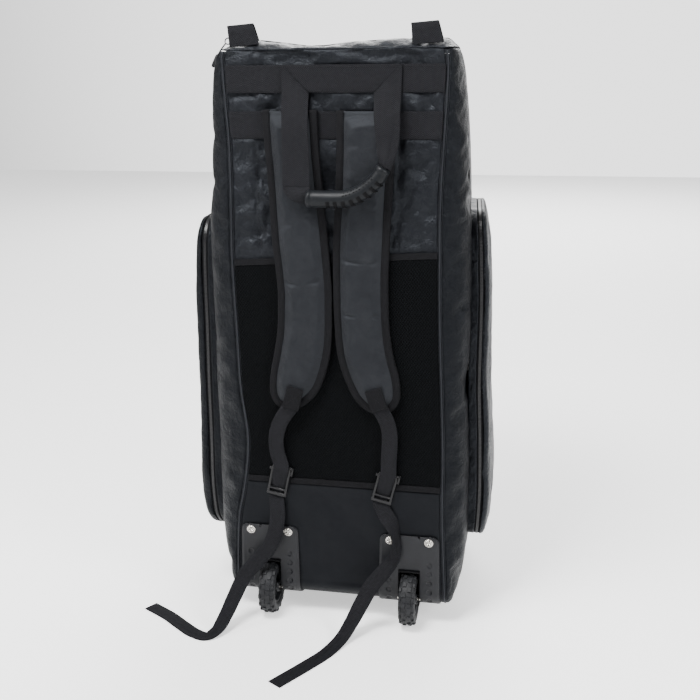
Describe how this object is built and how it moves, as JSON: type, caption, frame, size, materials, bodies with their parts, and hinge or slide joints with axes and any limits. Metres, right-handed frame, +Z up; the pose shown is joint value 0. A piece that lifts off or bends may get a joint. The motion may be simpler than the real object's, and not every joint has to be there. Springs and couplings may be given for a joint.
{
  "type": "wheeled duffel bag",
  "caption": "Upright wheeled duffel bag with padded shoulder straps, rubber-gripped carry handle, mesh back pocket, side pockets and two inset wheels.",
  "frame": {"origin": "middle of the whole outline in X and Y, on the floor that the wheels and the foot bar stand on", "axes": "+X across the back to the bag's side that the picture shows on the right, +Y from the back with the straps into the bag, +Z up along the bag's length"},
  "size_m": [0.5708, 0.5726, 0.9437],
  "materials": {
    "fabric": "black coated woven polyester, crinkled, faint sheen",
    "padding": "dark grey satin weave over foam",
    "webbing": "charcoal twill webbing, matt",
    "mesh": "black knitted mesh with small holes",
    "coated": "smooth coated sheet, soft sheen",
    "piping": "grey seam piping, satin",
    "plastic": "moulded black, fine texture",
    "rubber": "dark moulded rubber, matt",
    "grip": "slate grey rubber, satin",
    "steel": "bright nickel plate"
  },
  "bodies": {
    "bag": {"back_panel": "fabric", "side_panel_left": "fabric", "side_panel_right": "fabric", "top_panel": "fabric", "base_panel": "fabric", "front_panel": "fabric", "wear_panel": "coated", "piping_left": "piping", "piping_right": "piping", "main_zip": "webbing", "zip_slider": "steel", "zip_pull": "rubber", "mesh_pocket": "mesh", "mesh_pocket_hem": "webbing", "mesh_seam_band": "webbing", "upper_band": "webbing", "lower_band": "webbing", "handle_webbing": "webbing", "handle_grip": "grip", "shoulder_pad_left": "padding", "shoulder_pad_right": "padding", "pad_binding_left": "webbing", "pad_binding_right": "webbing", "strap_patch_left": "webbing", "strap_patch_right": "webbing", "adjuster_left": "webbing", "adjuster_right": "webbing", "buckle_left": "plastic", "buckle_right": "plastic", "buckle_anchor_left": "webbing", "buckle_anchor_right": "webbing", "pocket_wall_left": "fabric", "pocket_zip_left": "webbing", "pocket_cover_left": "fabric", "pocket_wall_right": "fabric", "pocket_zip_right": "webbing", "pocket_cover_right": "fabric", "top_tab_left": "webbing", "top_tab_right": "webbing", "wheel_housing_left": "plastic", "wheel_housing_right": "plastic", "rivet_left_outer": "steel", "rivet_left_inner": "steel", "rivet_right_inner": "steel", "rivet_right_outer": "steel", "wheel_axle_left": "steel", "wheel_axle_right": "steel", "foot_bar": "plastic"},
    "wheel_left": {"wheel_tyre_left": "rubber", "wheel_hub_left": "plastic"},
    "wheel_right": {"wheel_tyre_right": "rubber", "wheel_hub_right": "plastic"}
  },
  "joints": [
    {"name": "wheel_left_spin", "type": "hinge", "parent": "bag", "child": "wheel_left", "pos_m": [-0.07152, -0.06565, 0.045], "axis": [1, 0, 0], "continuous": true},
    {"name": "wheel_right_spin", "type": "hinge", "parent": "bag", "child": "wheel_right", "pos_m": [0.16148, -0.06565, 0.045], "axis": [1, 0, 0], "continuous": true}
  ]
}
